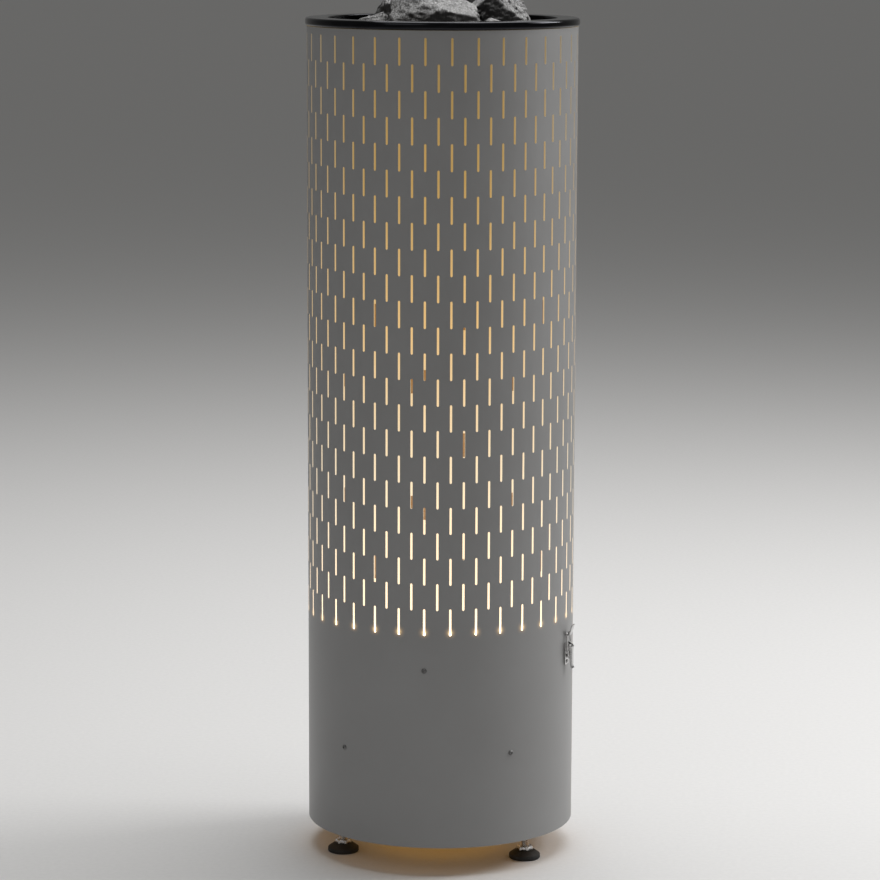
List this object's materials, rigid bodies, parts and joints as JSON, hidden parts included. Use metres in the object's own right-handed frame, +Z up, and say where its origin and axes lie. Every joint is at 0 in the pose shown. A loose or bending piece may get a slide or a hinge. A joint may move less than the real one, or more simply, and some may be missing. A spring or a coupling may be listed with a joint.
{
  "type": "sauna heater",
  "caption": "Round floor-standing electric sauna heater: slotted sheet casing lit from inside, heaped with stones, on levelling feet, with a draw latch.",
  "frame": {"origin": "on the floor under the middle of the casing", "axes": "+Z up, the front faces -Y, the latch is on the +X side"},
  "size_m": [0.328, 0.3239, 1.0495],
  "materials": {
    "casing_paint": "satin",
    "dark_ring": "polished",
    "bright_steel": "polished",
    "sheet_steel": "mill",
    "rubber": "matte",
    "stone": "rough",
    "black_plastic": "matte",
    "ceramic": "matte",
    "red_plastic": "gloss",
    "led": "diffusing"
  },
  "bodies": {
    "heater": {"casing_front": "casing_paint", "casing_rear": "casing_paint", "top_ring": "dark_ring", "stone_jacket": "sheet_steel", "stone_deck": "sheet_steel", "base_frame": "sheet_steel", "light_carrier": "sheet_steel", "light_strip": "led", "light_driver": "black_plastic", "star_link": "bright_steel", "connection_box": "sheet_steel", "box_cover": "sheet_steel", "terminal_block": "ceramic", "cutout": "black_plastic", "cable_gland": "black_plastic", "gland_nut": "black_plastic", "latch_base": "bright_steel", "latch_pin": "bright_steel", "latch_keeper": "bright_steel", "latch_rivet_1": "bright_steel", "latch_rivet_2": "bright_steel", "stone_fill": "stone", "post_1": "sheet_steel", "post_2": "sheet_steel", "post_3": "sheet_steel", "post_4": "sheet_steel", "casing_screw_1": "bright_steel", "casing_screw_2": "bright_steel", "casing_screw_3": "bright_steel", "casing_screw_4": "bright_steel", "casing_screw_5": "bright_steel", "casing_screw_6": "bright_steel", "element_1": "bright_steel", "element_2": "bright_steel", "element_3": "bright_steel", "foot_nut_1": "bright_steel", "foot_nut_2": "bright_steel", "foot_nut_3": "bright_steel", "stone_1": "stone", "stone_2": "stone", "stone_3": "stone", "stone_4": "stone", "stone_5": "stone", "stone_6": "stone", "stone_7": "stone", "stone_8": "stone", "stone_9": "stone", "stone_10": "stone", "stone_11": "stone", "stone_12": "stone"},
    "foot_1": {"foot_pad_1": "rubber", "foot_stud_1": "bright_steel"},
    "foot_2": {"foot_pad_2": "rubber", "foot_stud_2": "bright_steel"},
    "foot_3": {"foot_pad_3": "rubber", "foot_stud_3": "bright_steel"},
    "lever": {"latch_lever": "bright_steel"},
    "bail": {"latch_bail": "bright_steel"},
    "button": {"cutout_button": "red_plastic"}
  },
  "joints": [
    {"name": "foot_1_height", "type": "slide", "parent": "heater", "child": "foot_1", "axis": [0, 0, 1], "range_m": [-0.015, 0.008]},
    {"name": "foot_2_height", "type": "slide", "parent": "heater", "child": "foot_2", "axis": [0, 0, 1], "range_m": [-0.015, 0.008]},
    {"name": "foot_3_height", "type": "slide", "parent": "heater", "child": "foot_3", "axis": [0, 0, 1], "range_m": [-0.015, 0.008]},
    {"name": "lever_swing", "type": "hinge", "parent": "heater", "child": "lever", "pos_m": [0.16076, -0.039, 0.2553], "axis": [-0.2358, -0.9718, 0], "range_deg": [0, 90]},
    {"name": "bail_swing", "type": "hinge", "parent": "lever", "child": "bail", "pos_m": [0.16037, -0.03891, 0.2453], "axis": [-0.2358, -0.9718, 0], "range_deg": [-65, 0]},
    {"name": "button_press", "type": "slide", "parent": "heater", "child": "button", "axis": [0, 0, 1], "range_m": [0, 0.0025], "stiffness_N_per_m": 300}
  ],
  "couplings": [
    {"joint": "bail_swing", "follows": "lever_swing", "ratio": -0.72}
  ]
}
